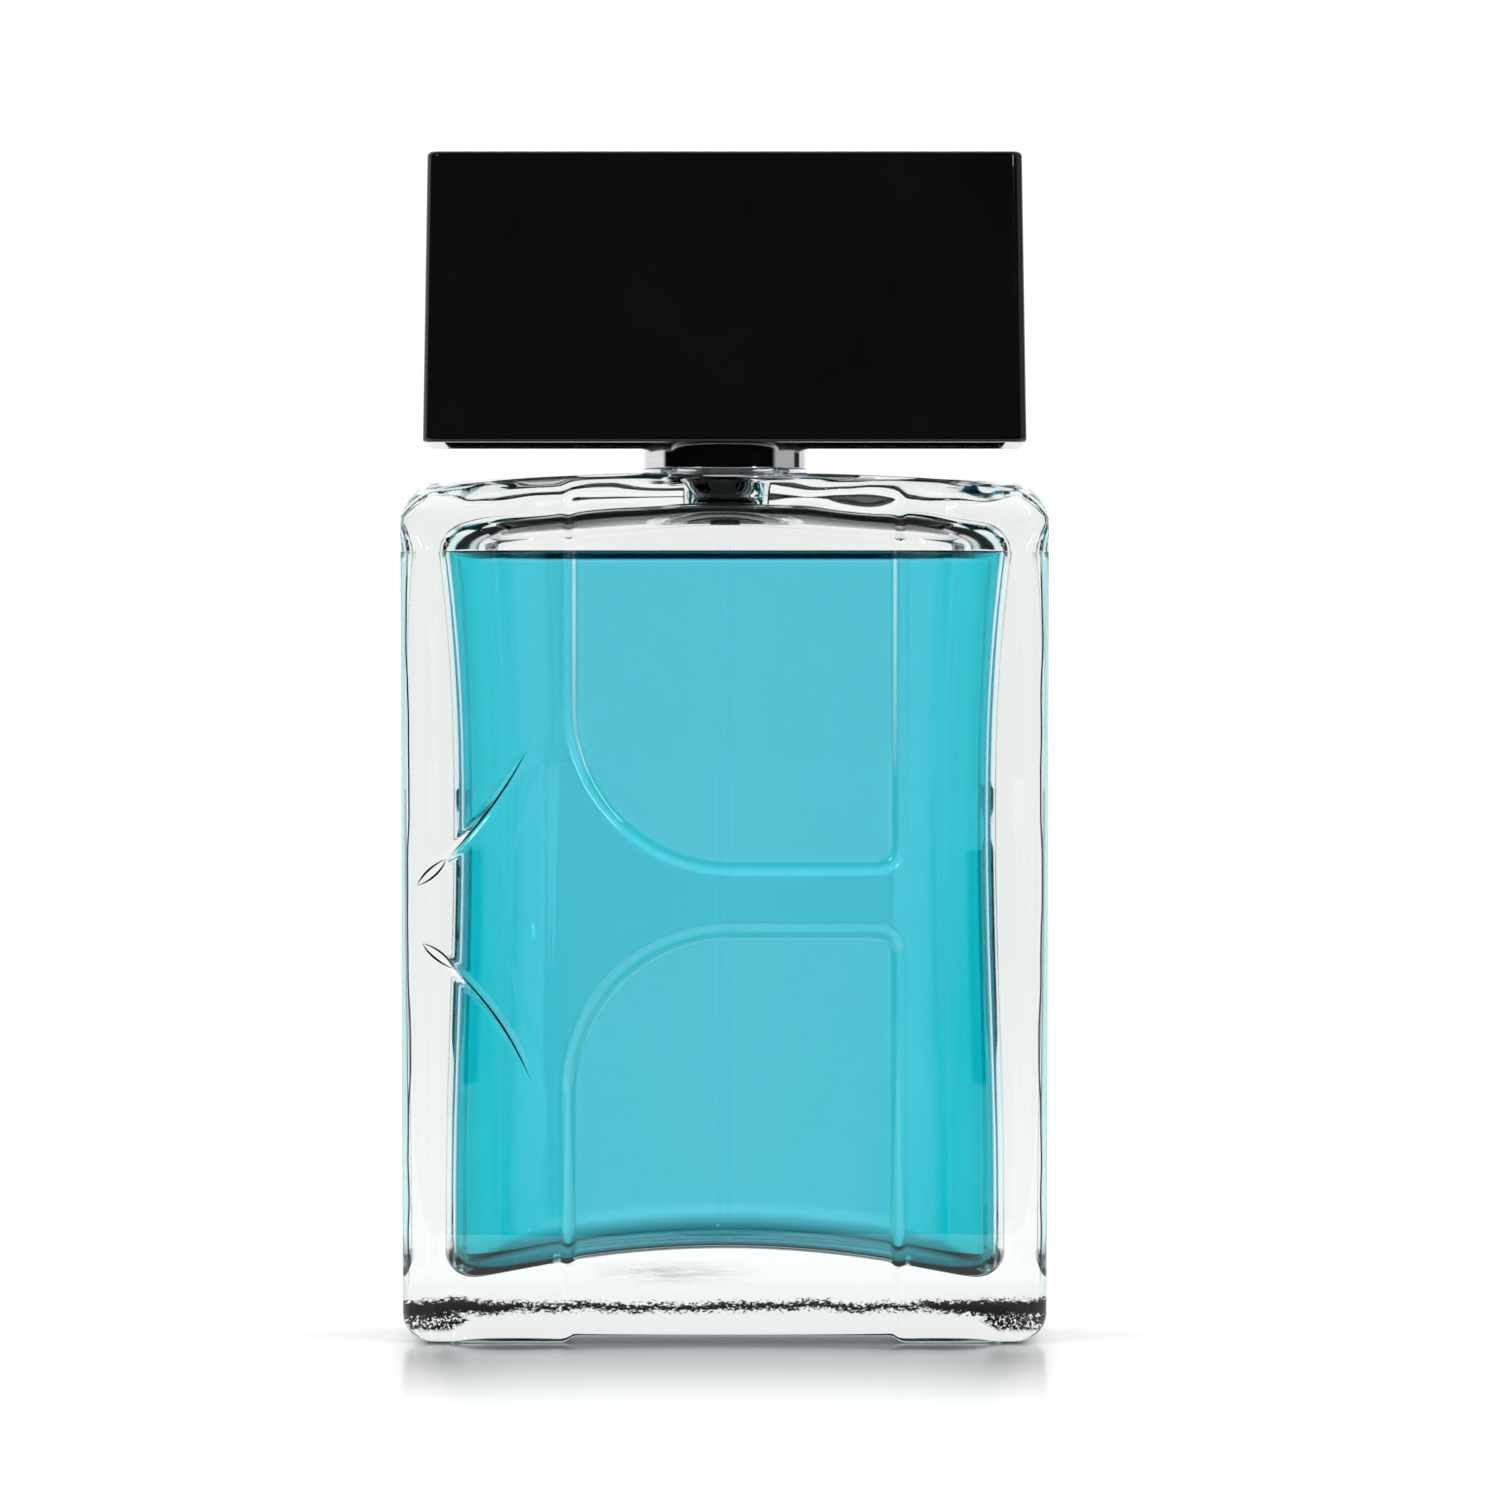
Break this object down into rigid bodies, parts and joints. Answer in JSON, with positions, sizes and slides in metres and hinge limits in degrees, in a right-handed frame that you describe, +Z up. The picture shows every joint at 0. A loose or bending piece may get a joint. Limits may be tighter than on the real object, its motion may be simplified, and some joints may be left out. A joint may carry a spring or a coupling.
{
  "type": "aftershave spray bottle",
  "caption": "Thick rectangular glass aftershave bottle with blue-green liquid, crimped fine-mist pump, bright collar and black block cap.",
  "frame": {"origin": "on the table, under the centre of the glass base", "axes": "+Z up along the pump axis, +X along the wide side to the right, -Y is the front face with the moulded panels"},
  "size_m": [0.0712, 0.032, 0.1307],
  "materials": {
    "clear_glass": "clear, polished",
    "aftershave_liquid": "clear blue-green liquid",
    "clear_tube": "clear, index matched to the liquid",
    "pump_plastic": "natural white moulded",
    "seal_rubber": "matt",
    "ball_steel": "polished stainless steel",
    "spring_steel": "drawn stainless wire",
    "ferrule_aluminium": "bright drawn",
    "collar_chrome": "mirror bright",
    "liner_plastic": "satin moulded",
    "cap_gloss_black": "deep gloss black",
    "insert_black": "satin moulded"
  },
  "bodies": {
    "bottle": {"glass_bottle": "clear_glass", "liquid": "aftershave_liquid", "neck_gasket": "seal_rubber", "pump_housing": "insert_black", "dip_tube": "clear_tube", "turret": "pump_plastic", "stem_seal": "seal_rubber", "main_spring": "spring_steel", "pump_ferrule": "ferrule_aluminium", "collar_shell": "collar_chrome", "collar_liner": "liner_plastic"},
    "cap": {"cap_shell": "cap_gloss_black", "cap_insert": "insert_black"},
    "stem": {"pump_stem": "pump_plastic", "piston_seat": "pump_plastic", "secondary_spring": "spring_steel"},
    "actuator": {"actuator_body": "liner_plastic", "actuator_shell": "collar_chrome", "nozzle_insert": "liner_plastic"},
    "piston": {"piston": "pump_plastic"},
    "ball": {"inlet_ball": "ball_steel"}
  },
  "joints": [
    {"name": "cap_pull", "type": "slide", "parent": "bottle", "child": "cap", "axis": [0, 0, 1], "range_m": [0, 0.045]},
    {"name": "actuator_press", "type": "slide", "parent": "bottle", "child": "stem", "axis": [0, 0, -1], "range_m": [0, 0.003], "stiffness_N_per_m": 800, "springref_m": -0.004, "deforming": ["main_spring"]},
    {"name": "actuator_turn", "type": "hinge", "parent": "stem", "child": "actuator", "pos_m": [0, 0, 0.1115], "axis": [0, 0, 1], "continuous": true},
    {"name": "outlet_valve", "type": "slide", "parent": "stem", "child": "piston", "axis": [0, 0, 1], "range_m": [0, 0.0004], "stiffness_N_per_m": 1500, "springref_m": -0.0005, "deforming": ["secondary_spring"]},
    {"name": "inlet_ball_lift", "type": "slide", "parent": "bottle", "child": "ball", "axis": [0, 0, 1], "range_m": [0, 0.00055]}
  ]
}
